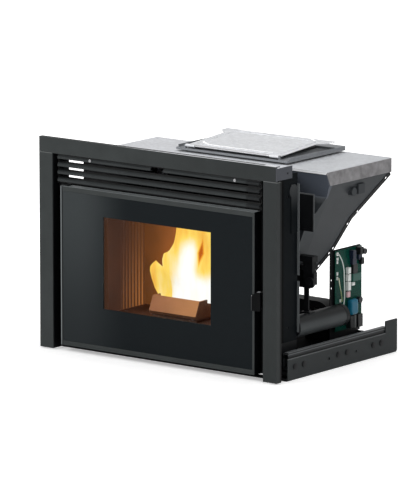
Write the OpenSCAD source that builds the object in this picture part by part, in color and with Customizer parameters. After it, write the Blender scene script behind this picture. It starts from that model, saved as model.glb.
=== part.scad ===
// Pull-out pellet fireplace insert with a three-sided surround, on a telescopic base.
// Built with y = 0 on the surround's front face, then set back by half its depth.

/* [Surround] */
// Overall width of the surround
surround_w = 800; // [760:10:900]
// Width of each upright trim
trim_w = 45; // [35:1:60]
// Height of the header strip
header_h = 42; // [30:1:60]
// Sheet thickness of the trims
trim_t = 2; // [1.5:0.5:3]
// Depth of the trims' outer return
return_outer = 21; // [15:1:30]
// Depth of the trims' inner return
return_inner = 48; // [40:1:52]
// Depth of the header's end ears
ear_d = 71; // [50:1:90]
// Height of the trims' lower ends over the floor
floor_gap = 3; // [2:0.5:6]

/* [Door] */
// Height of the door
door_h = 435; // [425:1:437]
// Depth of the door frame
door_d = 27; // [22:1:28]
// Gap from the door to each trim
door_gap = 28; // [24:1:36]
// Visible border at the top and bottom of the glass
border_z = 13; // [9:1:18]
// Visible border at the sides of the glass
border_x = 7; // [5:1:12]
// Thickness of the door glass
glass_t = 4; // [3:0.5:5]
// Width of the clear window
window_w = 363; // [320:1:366]
// Height of the clear window
window_h = 250; // [220:1:254]
// Radius of the hinge pins
hinge_pin_r = 4; // [3:0.5:5]
// How far the latch lever stands out in front of the surround
latch_out = 4.5; // [4:0.5:5]

/* [Grille] */
// Height from the door's top to the header strip
grille_h = 86; // [84:1:92]
// Distance from one louvre to the next
louvre_pitch = 20.5; // [19.5:0.5:22]
// Height of one louvre
louvre_h = 13; // [12:0.5:15]
// Number of louvres
louvre_count = 4; // [3:1:4]

/* [Firebox] */
// Outside width of the firebox
firebox_w = 410; // [396:2:440]
// Distance from the surround's face to the back of the firebox
firebox_back = 204; // [200:1:205]
// Number of ribs on each side lining
rib_count = 8; // [6:1:10]
// Height of the hearth
hearth_z = 114; // [108:1:118]
// Width of the burn pot
pot_w = 158; // [120:1:170]

/* [Hopper] */
// Height of the top cover
cover_z = 531; // [526:1:534]
// Half width of the hopper's right side
hopper_x = 385; // [380:1:390]
// Height of the galvanised apron
apron_h = 39; // [30:1:48]
// Sideways lean of the hopper's right wall, in mm per mm
side_lean = 0.43; // [0.4:0.01:0.46]
// Sheet thickness of the hopper
sheet_t = 1.5; // [1:0.5:2]
// Angle at which the hatch lid stands open
lid_rest = 4.2; // [2:0.2:6]
// Outside width of the hatch frame
hatch_w = 375; // [360:1:385]
// Outside depth of the hatch frame
hatch_d = 261; // [250:1:262]
// Height of the hatch frame
hatch_h = 16.5; // [15:0.5:18]

/* [Auger] */
// Outside radius of the auger tube
auger_tube_r = 27; // [25:1:29]
// Radius of the auger screw's flight
auger_r = 23; // [20:0.5:23]
// Upward slope of the auger in degrees
auger_slope = 20; // [18:1:22]
// Pitch of the auger screw
auger_pitch = 40; // [30:1:50]

/* [Base] */
// Overall depth of the insert
depth = 545; // [535:1:560]
// Distance between the outer faces of the base's side plates
base_w = 793; // [793:1:794]
// Height of the base's side plates
base_h = 59; // [55:1:62]
// Height of the raised rear tabs
tab_h = 91; // [80:1:100]
// Thickness of the base's sheet
base_t = 3; // [2.5:0.5:3]
// Height of the telescopic slides' top edge
slide_top = 75; // [73:1:76]
// Radius of the base's fixing holes
fixing_r = 4.5; // [3:0.5:6]

/* [Hidden] */
$fn = 48;

half_w = surround_w / 2;
trim_in = half_w - trim_w;
gap = 0.3;

door_x = trim_in - door_gap;
door_z0 = 17;
door_z1 = door_z0 + door_h;
header_z = door_z1 + grille_h;
surround_h = header_z + header_h;
glass_x = door_x - border_x;
glass_z0 = door_z0 + border_z;
glass_z1 = door_z1 - border_z;
window_z0 = 132;
window_z1 = window_z0 + window_h;
hinge_x = -door_x + 9;
hinge_y = 16;
plate_y = 31;
plate_t = 3;
rope_x = 205;
rope_z0 = 37;
rope_z1 = door_z1 - 36;
opening_z1 = door_z1 - 50;
latch_x = door_x + 7;
latch_z = 214;
latch_r = 4;

firebox_x = firebox_w / 2;
firebox_z0 = 40;
firebox_top = door_z1 - 22;
lining_z1 = firebox_top - 38;
lining_x = 190;
lining_t = 12;
lining_y0 = 87;
lining_y1 = 196;
pot_y0 = 68;
pot_y1 = 176;
pot_z0 = 122;
pot_z1 = 170;

panel_x = trim_in;
panel_t = 1.8;
panel_y1 = 150;
panel_z0 = 92;
cover_y0 = 236;
cover_y1 = 531;
casing_left = -320;
casing_right = 262;
casing_y1 = 411;
casing_step_x = -142;

hatch_x0 = -140;
hatch_y0 = 265;
hatch_rail_x = 34;
hatch_rail_right = 70;
hatch_rail_y = 28;
hatch_rail_back = 56;
hatch_in_x0 = hatch_x0 + hatch_rail_x;
hatch_in_x1 = hatch_x0 + hatch_w - hatch_rail_right;
hatch_in_y0 = hatch_y0 + hatch_rail_y;
hatch_in_y1 = hatch_y0 + hatch_d - hatch_rail_back;
hatch_top = cover_z + hatch_h;
lid_y = hatch_y0 + 3;
hatch_floor = hatch_top - 6;
lid_z = hatch_top + 2;
lid_x0 = hatch_x0 + 32;
lid_x1 = hatch_x0 + hatch_w - 30;
lid_depth = hatch_d - 45.5;
lid_pin_r = 2.5;

side_z = cover_z - apron_h - 2;
side_x = hopper_x - sheet_t;
auger_y = 272;
auger_x = 282;
auger_z = 252.5;
auger_len = 255.6 / cos(auger_slope);
chute_x0 = auger_x - 258;
chute_x1 = chute_x0 + 62;
chute_z = auger_z + 255.6 * tan(auger_slope) - 39.5;

pipe_x = 338;
pipe_z = 122;
pipe_r = 29;
pipe_y1 = 370;
board_x = 302.4;
board_y0 = 388;
board_w = 120;
board_z0 = 67;
board_h = 220;
fan_x = 240;
fan_y = 390;
fan_z = 94;
fan_r = 50;
flue_x = -200;
flue_z = 140;
flue_r = 78;
flue_pipe_r = 40;
flue_pipe_x = -130;
flue_pipe_z = 104;

base_x = base_w / 2;
base_y0 = 54;
plate_in = base_x - base_t;
slide_h = 47;
slide_z0 = slide_top - slide_h;
slide_y0 = 60;
slide_len = 440;
chassis_x = plate_in - 19.5;
chassis_y1 = depth - 40;
chassis_z = 33;

motor_black = [0.07, 0.07, 0.08];
anthracite = [0.2, 0.22, 0.22];
galvanised = [0.78, 0.8, 0.82];
iron = [0.3, 0.18, 0.12];

// A block between two corners
module block(x0, x1, y0, y1, z0, z1) {
    translate([x0, y0, z0]) cube([x1 - x0, y1 - y0, z1 - z0]);
}

// A yz outline extruded from x0 to x1
module along_x(x0, x1) {
    translate([x0, 0, 0]) rotate([90, 0, 90]) linear_extrude(x1 - x0) children();
}

// An xz outline extruded from y0 to y1
module along_y(y0, y1) {
    translate([0, y1, 0]) rotate([90, 0, 0]) linear_extrude(y1 - y0) children();
}

// A round bar or tube along y
module rod_y(x, y0, y1, z, r, hole = 0) {
    translate([x, y1, z]) rotate([90, 0, 0]) difference() {
        cylinder(h = y1 - y0, r = r);
        if (hole > 0) translate([0, 0, -1]) cylinder(h = y1 - y0 + 2, r = hole);
    }
}

// A round bar along x
module rod_x(x0, x1, y, z, r) {
    translate([x0, y, z]) rotate([0, 90, 0]) cylinder(h = x1 - x0, r = r);
}

// Both sides of the insert
module both_sides() {
    children();
    mirror([1, 0, 0]) children();
}

function unit(v) = v / norm(v);

// A closed outline moved inwards by t, for points that run anticlockwise
function inset(p, t) = let (n = len(p)) [for (i = [0 : n - 1])
    let (d1 = unit(p[i] - p[(i + n - 1) % n]), d2 = unit(p[(i + 1) % n] - p[i]),
        n1 = [-d1.y, d1.x], n2 = [-d2.y, d2.x])
    p[i] + t * (n1 + n2) / (1 + n1 * n2)];

// An open line moved to its left by t
function shifted(p, t) = let (n = len(p)) [for (i = [0 : n - 1])
    let (d1 = unit(i > 0 ? p[i] - p[i - 1] : p[1] - p[0]),
        d2 = unit(i < n - 1 ? p[i + 1] - p[i] : p[i] - p[i - 1]),
        n1 = [-d1.y, d1.x], n2 = [-d2.y, d2.x])
    p[i] + t * (n1 + n2) / (1 + n1 * n2)];

function reversed(p) = [for (i = [len(p) - 1 : -1 : 0]) p[i]];

// Base
module base_tray() {
    color(anthracite) difference() {
        union() {
            block(-plate_in, plate_in, 95, depth, 0, base_t);
            block(-plate_in, plate_in, 95, 95 + base_t, base_t, 14);
            block(-plate_in, plate_in, depth - base_t - 2, depth - 2, base_t, 30);
            both_sides() block(231, 270, 46, 96, 0, base_t);
        }
        block(-250, 250, 150, depth - 85, -1, base_t + 1);
        for (x = [-330, 330], y = [130, depth - 65])
            translate([x, y, -1]) cylinder(h = base_t + 2, r = fixing_r);
    }
}

module base_side() {
    r = 8;
    color(anthracite) difference() {
        along_x(plate_in, base_x) union() {
            translate([base_y0, 0]) square([depth - base_y0 - r, base_h]);
            translate([depth - 53, r]) square([53, tab_h - r - 3]);
            translate([depth - 50, tab_h - 6]) square([47, 6]);
            translate([depth - 50, tab_h - 3]) circle(3);
            translate([depth - 3, tab_h - 3]) circle(3);
            translate([depth - r, r]) circle(r);
        }
        for (y = [237, 358]) translate([plate_in - 1, y, 31]) rotate([0, 90, 0])
            cylinder(h = base_t + 2, r = 4);
    }
}

module base_side_right() base_side();

module base_side_left() mirror([1, 0, 0]) base_side();

module slide_bolts() {
    color(motor_black) both_sides() for (y = [85, 125, 278, 317, 435, 472]) {
        rod_x(base_x, base_x + 2.6, y, 35, 8);
        rod_x(base_x + 2.6, base_x + 3.3, y, 35, 5);
    }
}

module rear_buffers() {
    color(motor_black) for (x = [-300, 300]) rod_y(x, chassis_y1, depth - 2 - base_t, 18, 9);
}

// One channel of a telescopic slide, open towards +x when flip is 0
module channel(x0, x1, y0, y1, inset_z, flip) {
    t = 2;
    z0 = slide_z0 + inset_z;
    z1 = slide_top - inset_z;
    color(galvanised) both_sides() {
        block(x0, x1, y0, y1, z0, z0 + t);
        block(x0, x1, y0, y1, z1 - t, z1);
        web = flip ? x1 - t : x0;
        block(web, web + t, y0, y1, z0, z1);
    }
}

module slide_outer() channel(plate_in - 13, plate_in, slide_y0, slide_y0 + slide_len, 0, true);

module slide_middle() channel(plate_in - 14.5, plate_in - 4, slide_y0 + 2, slide_y0 + slide_len - 10,
    2 + gap, true);

module slide_inner() channel(chassis_x, plate_in - 7, slide_y0 + 4, slide_y0 + slide_len - 20,
    4 + 2 * gap, false);

// Chassis and surround
module chassis_floor() {
    color(anthracite) {
        difference() {
            block(-chassis_x, chassis_x, slide_y0, chassis_y1 - gap, chassis_z, chassis_z + 3);
            block(-150, 150, 230, chassis_y1 - 45, chassis_z - 1, chassis_z + 4);
        }
        block(2 - panel_x, panel_x - 2, plate_y + plate_t, 61, chassis_z, chassis_z + 3);
        both_sides() block(chassis_x - 2, chassis_x, slide_y0, slide_y0 + slide_len - 20, chassis_z, 68);
        block(-chassis_x, chassis_x, chassis_y1 - 2.3, chassis_y1 - gap, 8, chassis_z + 20);
    }
}

module side_panel(top) {
    color(motor_black) difference() {
        union() {
            block(panel_x - panel_t, panel_x, plate_y + plate_t, panel_y1, panel_z0, top);
            block(panel_x - panel_t, panel_x + 7, panel_y1 - panel_t, panel_y1, panel_z0 + 20, top - 30);
        }
        block(panel_x, panel_x + 9, panel_y1 - 5, panel_y1 + 1, 250, 266);
        for (z = [130, top - 60]) translate([panel_x - 5, 108, z]) rotate([0, 90, 0])
            cylinder(h = 9, r = 3.5);
    }
}

module side_panel_right() {
    top = header_z + 3;
    side_panel(top);
    color(motor_black) along_x(panel_x, panel_x + 2) union() {
        translate([panel_y1 - 29, top - 160]) square([29, 112]);
        translate([panel_y1 - 29, top - 60]) square([15, 30]);
        translate([panel_y1 - 18, top - 48]) circle(18);
    }
}

module side_panel_left() mirror([1, 0, 0]) side_panel(door_z1 - 7);

module surround_header() {
    color(anthracite) {
        block(-half_w, half_w, 0, trim_t, header_z, surround_h);
        block(-trim_in, trim_in, 0, 8, header_z, header_z + trim_t);
        block(-half_w, half_w, 0, 14, surround_h - trim_t, surround_h);
        header_ear(surround_h - 6);
        mirror([1, 0, 0]) header_ear(header_z + 24);
    }
}

// An ear behind the header's end; the left one is lower and stays hidden from the front
module header_ear(top) difference() {
    block(half_w - 5, half_w - 3, 1, ear_d, header_z + 3, top);
    translate([half_w - 6, 51, header_z + 18]) rotate([0, 90, 0]) cylinder(h = 4, r = 3);
}

module trim_upright() {
    color(anthracite) translate([0, 0, floor_gap]) linear_extrude(header_z - floor_gap) union() {
        translate([trim_in, 0]) square([trim_w, trim_t]);
        translate([trim_in, 0]) square([trim_t, return_inner]);
        translate([half_w - trim_t, 0]) square([trim_t, return_outer]);
        translate([half_w - 8, return_outer - trim_t]) square([8, trim_t]);
    }
}

module surround_right() trim_upright();

module surround_left() mirror([1, 0, 0]) trim_upright();

module front_plate() {
    px = panel_x - panel_t;
    color(anthracite) difference() {
        union() {
            block(-px, px, plate_y, plate_y + plate_t, 22, door_z1 + 3);
            both_sides() block(px - 29, px, plate_y, plate_y + plate_t, door_z1, header_z + 2);
            for (z = [door_z0 - 4 - gap, door_z1 + gap])
                block(hinge_x - 12, hinge_x + 12, hinge_y - 8, plate_y, z, z + 4);
            translate([hinge_x, hinge_y, door_z0 - 4]) cylinder(h = 18, r = hinge_pin_r);
            translate([hinge_x, hinge_y, door_z1 - 14]) cylinder(h = 18, r = hinge_pin_r);
            block(hinge_x - 12, hinge_x + 12, plate_y, plate_y + plate_t, door_z0 - 4 - gap, 23);
        }
        block(-lining_x, lining_x, plate_y - 1, plate_y + plate_t + 1, hearth_z - 2, opening_z1);
        block(-154, 154, plate_y - 1, plate_y + plate_t + 1, 43, hearth_z - 8);
        block(latch_x - 12, px + 1, plate_y - 1, plate_y + plate_t + 1, latch_z - 24, latch_z + 24);
    }
}

// One louvre's yz outline: a short upright lip, then a slope to the rear
function louvre() = [[0, 0], [1.6, 0], [1.6, 5.2], [11, louvre_h - 1.8], [11, louvre_h], [0, 6]];

module grille() {
    x = door_x + 12;
    y = 3;
    color(anthracite) difference() {
        union() {
            for (i = [0 : louvre_count - 1]) intersection() {
                translate([0, y, header_z - 13.5 - i * louvre_pitch]) along_x(-x - 8, x + 8)
                    polygon(louvre());
                translate([0, 0, door_z1 - 12]) linear_extrude(grille_h + 30)
                    polygon([[-x, y], [x, y], [x + 5, y + 12], [-x - 5, y + 12]]);
            }
            both_sides() block(x + 1.5, x + 3.5, y + 9, plate_y, door_z1 + 6, header_z + 2);
            block(-x - 2, x + 2, y + 11, y + 14, door_z1 + 6, door_z1 + 12);
        }
        block(-22, 20, 0, 30, header_z - 16, header_z - 4);
    }
}

module grille_screws() {
    color([0.8, 0.8, 0.8]) for (x = [-227, 260]) {
        rod_y(x, 1.2, 3, header_z - 8.5, 4);
        rod_y(x, 0.6, 1.2, header_z - 8.5, 2.8);
    }
}

// Firebox
module firebox_shell() {
    t = 3;
    z0 = firebox_z0;
    color(motor_black) difference() {
        block(-firebox_x, firebox_x, plate_y + plate_t, firebox_back, z0, firebox_top);
        block(-firebox_x + t, firebox_x - t, plate_y, firebox_back - t, z0 + t, firebox_top - t);
        block(chute_x0 + 1, chute_x1 - 1, firebox_back - 5, firebox_back + 1, 228, 262);
        translate([0, firebox_back + 1, 150]) rotate([90, 0, 0]) cylinder(h = 6, r = 8.2);
        block(firebox_x - 5, firebox_x + 1, 70, 130, 60, 104);
        translate([flue_x + 45, firebox_back + 1, flue_z]) rotate([90, 0, 0]) cylinder(h = 6, r = 26);
    }
}

module rib_lining() {
    pitch = (lining_y1 - lining_y0) / rib_count;
    color(iron) {
        block(lining_x + 4, lining_x + lining_t, plate_y + plate_t, lining_y1, hearth_z, lining_z1);
        block(lining_x, lining_x + 4, plate_y + plate_t, lining_y0, hearth_z, lining_z1);
        for (i = [0 : rib_count - 1]) along_zrib(lining_y0 + i * pitch, pitch);
    }
}

// One upright rib of the side lining, with sloping flanks
module along_zrib(y, pitch) {
    translate([0, 0, hearth_z]) linear_extrude(lining_z1 - hearth_z)
        polygon([[lining_x + 4, y], [lining_x, y + pitch * 0.25], [lining_x, y + pitch * 0.6],
            [lining_x + 4, y + pitch * 0.85]]);
}

module rib_lining_right() rib_lining();

module rib_lining_left() mirror([1, 0, 0]) rib_lining();

module back_lining() {
    color(iron) along_y(lining_y1, firebox_back - 3) difference() {
        translate([-lining_x - 4, hearth_z]) square([2 * lining_x + 8, lining_z1 - hearth_z]);
        translate([chute_x0 + 1, 228]) square([chute_x1 - chute_x0 - 2, 34]);
        translate([0, 150]) circle(8.2);
        translate([flue_x + 20, flue_z - 20]) square([50, 40]);
    }
}

module hearth_plate() {
    color(iron) difference() {
        block(-firebox_x + 3, firebox_x - 3, plate_y + plate_t, firebox_back - 3, hearth_z - 6, hearth_z);
        block(-pot_w / 2 + 14, pot_w / 2 - 14, pot_y0 + 20, pot_y1 - 14, hearth_z - 7, hearth_z + 1);
    }
    color(iron) difference() {
        block(-pot_w / 2 + 4, pot_w / 2 - 4, pot_y0 + 10, pot_y1 - 4, hearth_z, pot_z0);
        block(-pot_w / 2 + 10, pot_w / 2 - 10, pot_y0 + 16, pot_y1 - 10, hearth_z - 1, pot_z0 + 1);
    }
}

module baffle_plate() {
    z = lining_z1;
    color(iron) union() {
        along_x(-lining_x - 10, lining_x + 10)
            polygon([[60, z + 12], [firebox_back - 4, z], [firebox_back - 4, z + 6], [60, z + 18]]);
        both_sides() block(lining_x - 10, lining_x + 10, 60, 72, z + 6, z + 12);
    }
}

// A tapered pot with a sloping front, open on top, with air holes in its floor
module burn_pot() {
    outer = [[pot_y0, pot_z0 + 9], [pot_y0 + 6, pot_z0], [pot_y1, pot_z0], [pot_y1, pot_z1],
        [pot_y0 + 17, pot_z1]];
    color([0.45, 0.3, 0.2]) difference() {
        along_x(-pot_w / 2, pot_w / 2) polygon(outer);
        along_x(-pot_w / 2 + 5, pot_w / 2 - 5) polygon([[pot_y0 + 9, pot_z0 + 5],
            [pot_y1 - 5, pot_z0 + 5], [pot_y1 - 5, pot_z1 + 1], [pot_y0 + 24, pot_z1 + 1],
            [pot_y0 + 6, pot_z0 + 11]]);
        for (x = [-50 : 20 : 50], y = [pot_y0 + 26 : 18 : pot_y1 - 16])
            translate([x, y, pot_z0 - 1]) cylinder(h = 8, r = 3, $fn = 16);
        translate([0, pot_y1 + 1, 150]) rotate([90, 0, 0]) cylinder(h = 8, r = 8.2);
    }
}

module ash_drawer() {
    color(anthracite) difference() {
        block(-150, 150, plate_y + plate_t + 2, firebox_back - 10, firebox_z0 + 3, 96);
        block(-148, 148, plate_y + plate_t + 4, firebox_back - 12, firebox_z0 + 5, 97);
    }
    color(anthracite) difference() {
        along_x(-60, 60) polygon([[48, 96], [50, 96], [50, 102], [36, 102], [36, 98], [48, 98]]);
        block(-40, 40, 40, 46, 90, 110);
    }
    color(anthracite) block(-60, 60, plate_y + plate_t + 4, 50, 94, 96);
}

module igniter() {
    color([0.8, 0.8, 0.75]) rod_y(0, pot_y1 - 3, 262, 150, 8);
    color([0.9, 0.9, 0.85]) rod_y(0, 262, 270, 150, 5);
}

module heat_exchanger() {
    color(motor_black) {
        block(-160, 160, 60, 200, firebox_top, firebox_top + 3);
        for (x = [-150 : 25 : 150]) block(x - 1.5, x + 1.5, 60, 200, firebox_top + 3, firebox_top + 45);
    }
}

// Casing and hopper
module casing_top() {
    color(galvanised) difference() {
        union() {
            block(casing_left, casing_step_x, 60, casing_y1, cover_z - sheet_t, cover_z);
            block(casing_step_x, casing_right, 60, cover_y0, cover_z - sheet_t, cover_z);
        }
        for (x = [-300, -170], y = [240, 390]) translate([x, y, cover_z - 3]) cylinder(h = 4, r = 2.5);
    }
}

module casing_walls() {
    t = sheet_t;
    z1 = cover_z - t;
    zb = chassis_z + 3;
    color(galvanised) {
        block(casing_left, casing_left + t, 90, casing_y1, zb, z1);
        block(casing_left + t, casing_step_x, casing_y1 - t, casing_y1, 260, z1);
        block(casing_right - t, casing_right, 60, cover_y0 - t, firebox_top, z1);
        block(casing_step_x, casing_right, cover_y0 - t, cover_y0, firebox_top, z1);
        block(casing_step_x - t, casing_step_x, cover_y0 - t, casing_y1, firebox_top, z1);
        block(firebox_x, casing_right, 60, firebox_back, firebox_top, firebox_top + t);
    }
}

module hopper_cover() {
    t = sheet_t;
    z0 = cover_z - t;
    color(galvanised) difference() {
        union() {
            block(casing_step_x + gap, hopper_x, cover_y0 + gap, cover_y1, z0, cover_z);
            along_x(side_x, hopper_x) polygon([[cover_y0 + gap, cover_z], [cover_y0 + 20, cover_z - apron_h],
                [cover_y1, cover_z - apron_h], [cover_y1, cover_z]]);
            block(casing_right + 4, side_x, cover_y0 + gap, cover_y0 + gap + t, z0 - 5, z0);
        }
        block(hatch_in_x0, hatch_in_x1, hatch_in_y0, hatch_in_y1, z0 - 1, cover_z + 1);
    }
}

// The hopper's outline seen from the side, and the line of its rear flange
function flange_line() = [[cover_y1, side_z - 6], [420, 374], [388, 291], [334, 231]];
function hopper_side() = concat([[auger_y - auger_tube_r, 225], [auger_y + auger_tube_r + 4, 215]],
    reversed(shifted(flange_line(), -13)),
    [[cover_y1 - 1, side_z + 6], [cover_y1 - 1, cover_z - sheet_t], [cover_y0 + 3, cover_z - sheet_t],
        [259, 460], [229, 412], [208, 371], [210, 338], [232, 262]]);

// The hopper's outline seen from the front
function lean_x(z) = side_x - side_lean * max(0, side_z - z);
function hopper_front() = [[190, 200], [lean_x(200), 200], [side_x, side_z],
    [side_x, cover_z - sheet_t], [casing_step_x + 2, cover_z - sheet_t], [casing_step_x + 2, 506],
    [150, 326], [190, 308]];

// Turns a shape that lies along +x into the auger's sloping line
module on_auger() {
    translate([auger_x, auger_y, auger_z]) rotate([0, 180 + auger_slope, 0]) children();
}

// The hopper as a solid block
module hopper_solid() {
    intersection() {
        along_x(-200, 420) polygon(hopper_side());
        along_y(150, 560) polygon(hopper_front());
    }
}

module hopper_shell() {
    t = sheet_t;
    color([0.26, 0.27, 0.3]) difference() {
        hopper_solid();
        intersection() {
            along_x(-200, 420) polygon(inset(hopper_side(), t));
            along_y(150, 560) polygon(inset(hopper_front(), t));
        }
        block(casing_step_x + 4, side_x - t, cover_y0 + 8, cover_y1 - 4, cover_z - 8, cover_z);
        on_auger() rotate([0, 90, 0]) translate([0, 0, -80]) cylinder(h = 420, r = auger_tube_r + 0.1);
        on_auger() rotate([0, 90, 0]) translate([0, 0, -80]) cylinder(h = 86, r = auger_tube_r + 2.1);
        on_auger() translate([-80, -120, 0]) cube([420, 240, 160]);
    }
}

module hopper_flange() {
    outer = flange_line();
    inner = shifted(outer, -15);
    zs = side_z;
    top = cover_z - apron_h;
    color(motor_black) difference() {
        intersection() {
            along_x(200, 420) polygon(concat(outer, reversed(inner)));
            along_y(150, 560) polygon([[lean_x(200), 200], [lean_x(200) + 1.6, 200],
                [side_x + 1.6, zs], [side_x + 1.6, top], [side_x, top], [side_x, zs]]);
        }
        for (p = [[512, 478], [434, 394], [408, 362], [381, 297], [371, 284], [343, 252]])
            translate([200, p.x, p.y]) rotate([0, 90, 0]) cylinder(h = 220, r = 3.4);
    }
}

module hopper_bracket() {
    x = lean_x(462);
    color(anthracite) difference() {
        union() {
            translate([x - 6, 366, 461]) rotate([0, 90, 0]) cylinder(h = 17, r = 11);
            difference() {
                block(x - 6, x + 12, 384, 412, 452, 478);
                block(x - 7, x + 10, 387, 414, 455, 475);
            }
        }
        hopper_solid();
    }
}

// A tray round the hatch opening: it stands on the opening's collar, clear of the cover
module hatch_frame() {
    x1 = hatch_x0 + hatch_w;
    y1 = hatch_y0 + hatch_d;
    z0 = cover_z + 4.5;
    t = 2;
    color([0.55, 0.57, 0.6]) difference() {
        union() {
            difference() {
                block(hatch_x0, x1, hatch_y0, y1, z0, hatch_top);
                block(hatch_x0 + t, x1 - t, hatch_y0 - 1, y1 - 42, hatch_floor, hatch_top + 1);
                block(hatch_x0 - 1, x1 + 1, hatch_y0 - 1, hatch_y0 + 10, hatch_floor, hatch_top + 1);
                block(hatch_x0 + t, x1 - t, hatch_y0 + t, y1 - 42 - t, z0 - 1, hatch_floor - t);
                block(hatch_x0 + t, x1 - t, y1 - 42 - t - 1, y1 - t, z0 - 1, hatch_floor - t);
                block(hatch_x0 + t, x1 - t, y1 - 40, y1 - t, z0 - 1, hatch_top - t);
                block(hatch_in_x0, hatch_in_x1, hatch_in_y0, hatch_in_y1, z0 - 1, hatch_top + 1);
            }
            difference() {
                block(hatch_in_x0 - t, hatch_in_x1 + t, hatch_in_y0 - t, hatch_in_y1 + t,
                    cover_z, hatch_floor);
                block(hatch_in_x0, hatch_in_x1, hatch_in_y0, hatch_in_y1, cover_z - 1, hatch_top);
            }
            for (x = [lid_x0 - 4, lid_x1 + 0.6]) {
                block(x, x + 3.4, lid_y - 3, lid_y + 4, hatch_floor - 1, lid_z + 3);
            }
        }
        translate([hatch_x0, lid_y, lid_z]) rotate([0, 90, 0]) cylinder(h = hatch_w, r = lid_pin_r);
    }
}

module lid_hinge_pin() {
    color([0.7, 0.7, 0.7]) rod_x(lid_x0 - 5, lid_x1 + 5, lid_y, lid_z, lid_pin_r);
}

module lid_seal() {
    x0 = hatch_in_x0;
    x1 = hatch_in_x1;
    y0 = hatch_in_y0;
    color(motor_black) difference() {
        block(x0 - 8, x1 + 8, y0 - 8, lid_y + lid_depth - 6, hatch_floor, hatch_floor + 4.2);
        block(x0 - 1, x1 + 1, y0 - 1, lid_y + lid_depth - 13, hatch_floor - 1, hatch_floor + 5);
    }
}

// The lid lies flat here; hatch_lid tilts it about its pin
module lid_flat() {
    z = lid_z - 1.5;
    y1 = lid_y + lid_depth;
    difference() {
        union() {
            translate([0, 0, z]) linear_extrude(sheet_t) polygon([[lid_x0, lid_y], [lid_x1, lid_y],
                [lid_x1, y1 - 48], [lid_x1 + 26, y1 - 24], [lid_x1 + 26, y1],
                [lid_x0 - 26, y1], [lid_x0 - 26, y1 - 24], [lid_x0, y1 - 48]]);
            translate([0, 0, z + sheet_t]) difference() {
                bead(0);
                translate([0, 0, -1]) bead(7);
            }
            for (x = [lid_x0, lid_x1 - 30]) rod_x(x, x + 30, lid_y, lid_z, 4);
            block(lid_x0 - 26, lid_x1 + 26, y1 - sheet_t, y1, z - 2, z + sheet_t);
        }
        translate([lid_x0 - 9, lid_y, lid_z]) rotate([0, 90, 0])
            cylinder(h = lid_x1 - lid_x0 + 18, r = lid_pin_r + 0.05);
        block(lid_x0 + 30, lid_x1 - 30, lid_y - 5, lid_y + 3.5, z - 5, z + 8);
    }
}

// The raised bead that stiffens the lid
module bead(w) {
    r = 22 - w;
    x0 = lid_x0 + 14 + w;
    x1 = lid_x1 - 14 - w;
    y0 = lid_y + 22 + w;
    y1 = lid_y + lid_depth - 16 - w;
    linear_extrude(w > 0 ? 4 : 1.6) union() {
        translate([x0 + r, y0]) square([x1 - x0 - 2 * r, y1 - y0]);
        translate([x0, y0 + r]) square([x1 - x0, y1 - y0 - 2 * r]);
        for (x = [x0 + r, x1 - r], y = [y0 + r, y1 - r]) translate([x, y]) circle(r);
    }
}

module hatch_lid() {
    color(galvanised) translate([0, lid_y, lid_z]) rotate([lid_rest, 0, 0])
        translate([0, -lid_y, -lid_z]) lid_flat();
}

module hopper_grid() {
    x0 = hatch_in_x0 - 6;
    x1 = hatch_in_x1 + 6;
    y0 = hatch_in_y0 - 5;
    y1 = hatch_in_y1 + 6;
    r = 2.5;
    z = cover_z - sheet_t - r;
    color([0.7, 0.7, 0.7]) {
        for (x = [x0 + 5 : 38 : x1]) rod_y(x, y0, y1, z, r);
        for (y = [y0 + 40, y1 - 40]) rod_x(x0, x1, y, z - 2 * r - 0.1, r);
    }
}

module service_box() {
    color(motor_black) difference() {
        block(318, 350, 182, 226, 388, 466);
        block(321, 347, 180, 223, 391, 463);
        hopper_solid();
    }
}

module service_box_cover() {
    color(motor_black) {
        frame_cover();
        rod_y(377, 178.2, 180, 389, 3.5);
    }
}

// The service box's cover: a plate with a raised rim
module frame_cover() {
    difference() {
        block(316, 387, 180, 182, 380, 481);
        block(322, 381, 179, 180.8, 386, 475);
    }
}

// Auger and its drive
module auger_tube() {
    color(motor_black) on_auger() rotate([0, 90, 0]) difference() {
        union() {
            cylinder(h = auger_len, r = auger_tube_r);
            cylinder(h = 4, r = auger_tube_r + 2);
        }
        translate([0, 0, 4]) cylinder(h = auger_len - 8, r = auger_tube_r - 2);
        translate([0, 0, -1]) cylinder(h = 6, r = 8.05);
        translate([0, 0, auger_len - 5]) cylinder(h = 6, r = 8.05);
        translate([-4, -22, 34]) cube([60, 44, 80]);
        translate([-60, -21, auger_len - 52]) cube([56, 42, 42]);
    }
}

module auger_screw() {
    turns = floor((auger_len - 20) / auger_pitch);
    color([0.6, 0.6, 0.62]) on_auger() rotate([0, 90, 0]) {
        translate([0, 0, -10]) cylinder(h = auger_len + 14, r = 8);
        translate([0, 0, 8]) flight(turns * auger_pitch);
    }
}

// The screw's flight: a thin blade that winds round the shaft once per pitch
module flight(h) {
    turns = h / auger_pitch;
    steps = ceil(turns * 16);
    function corner(r, a, z) = [r * cos(a), r * sin(a), z];
    sweep([for (i = [0 : steps]) let (a = 360 * turns * i / steps, z = h * i / steps)
        [corner(7, a, z - 1.5), corner(7, a, z + 1.5), corner(auger_r, a, z + 1.5),
            corner(auger_r, a, z - 1.5)]]);
}

// A closed solid through a row of rings that all have the same number of points
module sweep(rings) {
    n = len(rings[0]);
    m = len(rings);
    faces = concat([[for (k = [0 : n - 1]) k]], [[for (k = [n - 1 : -1 : 0]) (m - 1) * n + k]],
        [for (i = [0 : m - 2], k = [0 : n - 1]) [(i + 1) * n + k, i * n + (k + 1) % n, i * n + k]],
        [for (i = [0 : m - 2], k = [0 : n - 1])
            [(i + 1) * n + k, (i + 1) * n + (k + 1) % n, i * n + (k + 1) % n]]);
    polyhedron([for (r = rings) each r], faces);
}

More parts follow.
